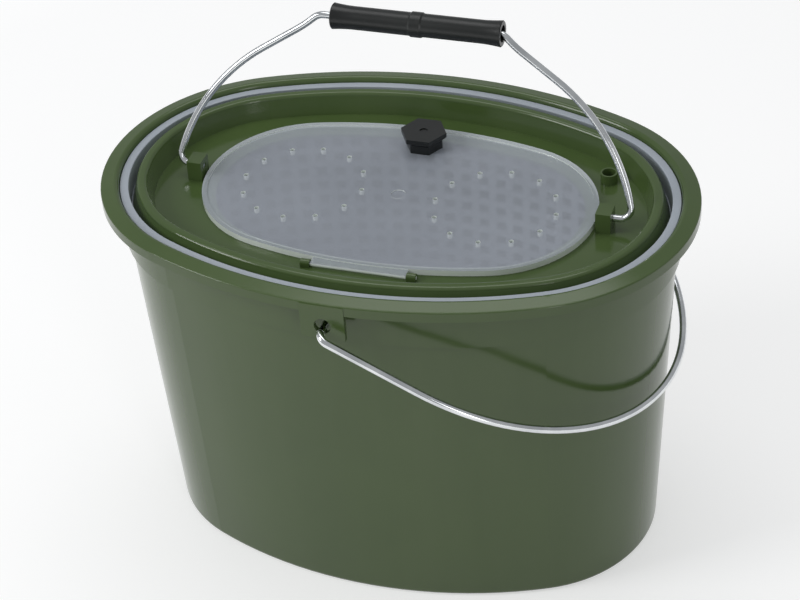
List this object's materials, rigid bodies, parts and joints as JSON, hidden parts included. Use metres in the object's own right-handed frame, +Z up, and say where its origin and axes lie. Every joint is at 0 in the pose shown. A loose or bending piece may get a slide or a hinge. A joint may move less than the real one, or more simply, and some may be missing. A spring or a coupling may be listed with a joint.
{
  "type": "aerated bait bucket",
  "caption": "Oval pail with a lift-out perforated basket, a lid with a clear hinged hatch and air-hose port, and two wire bails.",
  "frame": {"origin": "middle of the pail's flat base, on the surface it stands on", "axes": "+Z up, +X along the pail's long axis towards the end over which the outer bail hangs, -Y the side on which the hatch is hinged"},
  "size_m": [0.36, 0.2686, 0.3301],
  "materials": {
    "olive_plastic": "satin olive-green moulded plastic",
    "milky_plastic": "translucent light grey moulded plastic",
    "clear_plastic": "clear glossy moulded plastic",
    "black_plastic": "satin black moulded plastic",
    "zinc_wire": "bright zinc-plated wire"
  },
  "bodies": {
    "pail": {"outer_pail": "olive_plastic"},
    "pail_bail": {"pail_bail": "zinc_wire"},
    "basket": {"inner_basket": "milky_plastic"},
    "lid": {"lid": "olive_plastic"},
    "hatch": {"hatch": "clear_plastic", "knob": "black_plastic", "knob_screw": "zinc_wire"},
    "lid_bail": {"lid_bail": "zinc_wire"},
    "grip": {"grip": "black_plastic"}
  },
  "joints": [
    {"name": "pail_bail_hinge", "type": "hinge", "parent": "pail", "child": "pail_bail", "pos_m": [-0.005, 0, 0.21805], "axis": [0, -1, 0], "range_deg": [-2, 238]},
    {"name": "basket_lift", "type": "slide", "parent": "pail", "child": "basket", "axis": [0, 0, 1], "range_m": [0, 0.24]},
    {"name": "lid_lift", "type": "slide", "parent": "basket", "child": "lid", "axis": [0, 0, 1], "range_m": [0, 0.1]},
    {"name": "hatch_hinge", "type": "hinge", "parent": "lid", "child": "hatch", "pos_m": [0, -0.07358, 0.2246], "axis": [1, 0, 0], "range_deg": [0, 26]},
    {"name": "lid_bail_hinge", "type": "hinge", "parent": "lid", "child": "lid_bail", "pos_m": [0.002, 0, 0.2305], "axis": [1, 0, 0], "range_deg": [-59, 103]},
    {"name": "grip_spin", "type": "hinge", "parent": "lid_bail", "child": "grip", "pos_m": [0.0065, 0.03709, 0.32229], "axis": [1, 0, 0], "continuous": true}
  ]
}
